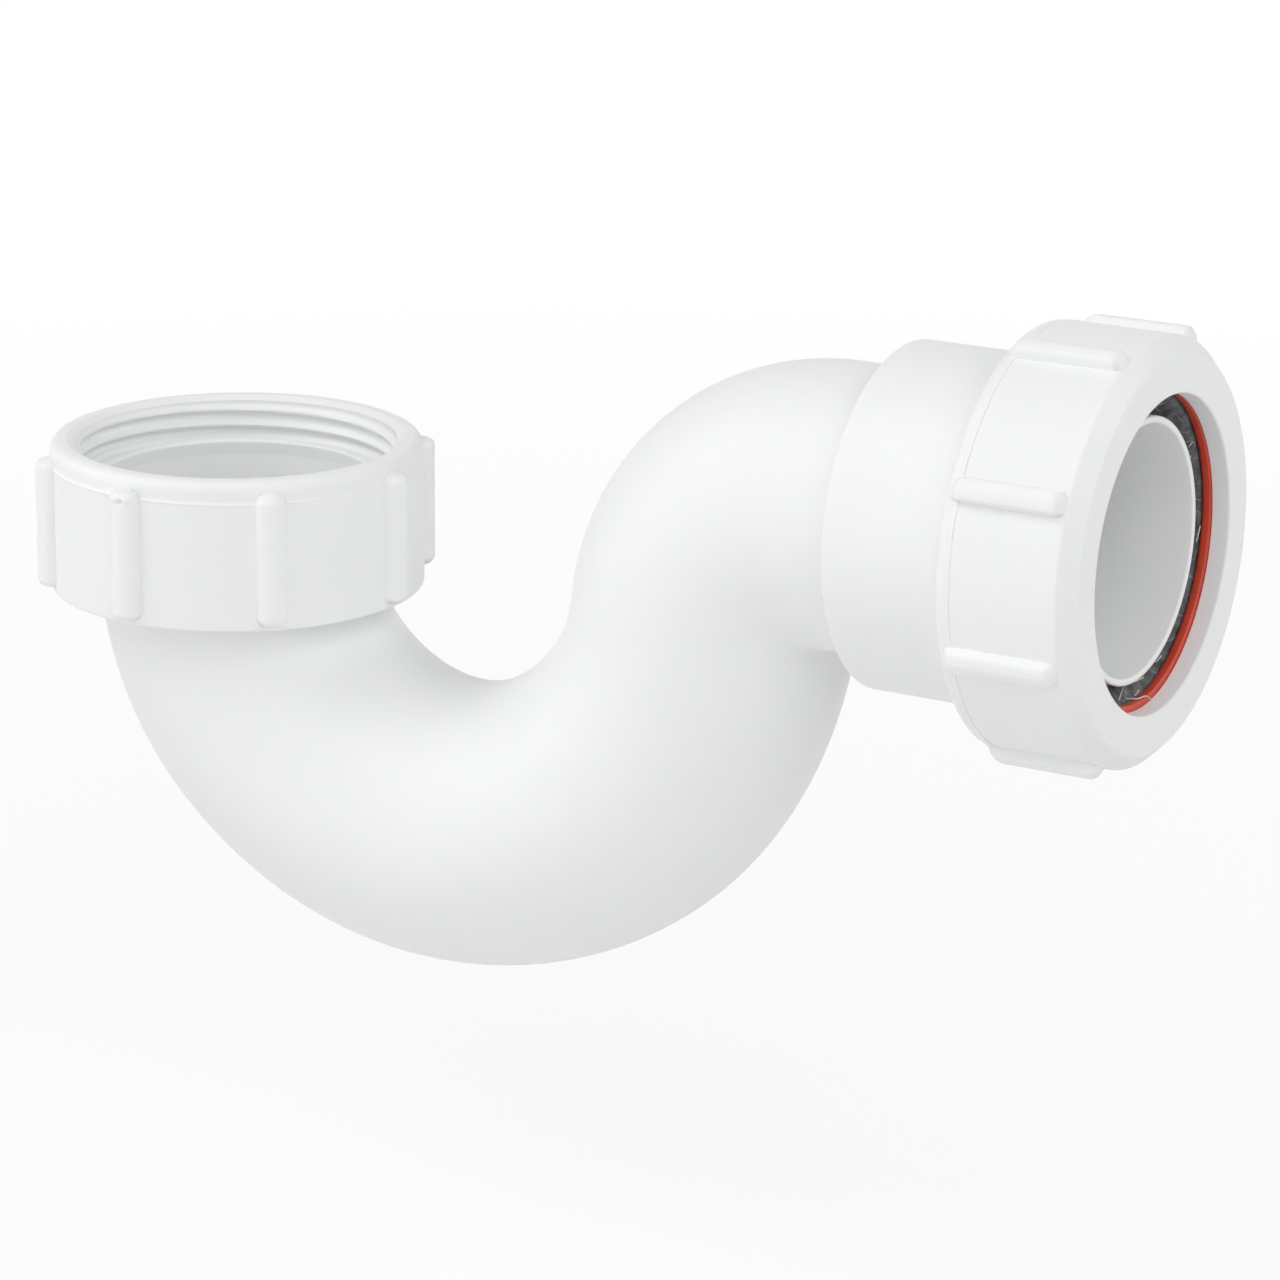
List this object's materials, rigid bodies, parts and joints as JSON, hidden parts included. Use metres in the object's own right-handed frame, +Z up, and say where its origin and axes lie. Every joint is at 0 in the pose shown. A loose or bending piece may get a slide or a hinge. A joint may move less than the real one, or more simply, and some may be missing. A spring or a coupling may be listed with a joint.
{
  "type": "bath trap",
  "caption": "Hollow U-bend bath trap with a lugged union nut on its inlet and a compression nut, slip ring and taper seal for a plain waste pipe on its outlet.",
  "frame": {"origin": "centre of the inlet washer's top face, on the inlet axis, where the tail of a bath waste seats", "axes": "+Z up along the inlet axis, +X along the outlet axis towards the waste pipe"},
  "size_m": [0.1813, 0.0604, 0.1083],
  "materials": {
    "white_plastic": "satin moulded",
    "washer_plastic": "matt soft",
    "red_plastic": "satin moulded",
    "seal_rubber": "matt"
  },
  "bodies": {
    "trap": {"trap_body": "white_plastic", "outlet_socket": "white_plastic", "inlet_washer": "washer_plastic", "taper_seal": "seal_rubber"},
    "inlet_nut": {"inlet_nut": "white_plastic"},
    "slip_ring": {"slip_ring": "red_plastic"},
    "outlet_nut": {"outlet_nut": "white_plastic"}
  },
  "joints": [
    {"name": "inlet_nut_turn", "type": "hinge", "parent": "trap", "child": "inlet_nut", "pos_m": [0, 0, 0], "axis": [0, 0, 1], "continuous": true},
    {"name": "slip_ring_travel", "type": "slide", "parent": "trap", "child": "slip_ring", "axis": [1, 0, 0], "range_m": [0, 0.01]},
    {"name": "outlet_nut_turn", "type": "hinge", "parent": "slip_ring", "child": "outlet_nut", "pos_m": [0.14, 0, 0.0097], "axis": [1, 0, 0], "range_deg": [0, 900]}
  ],
  "couplings": [
    {"joint": "slip_ring_travel", "follows": "outlet_nut_turn", "m_per_rad": 0.0006366}
  ]
}
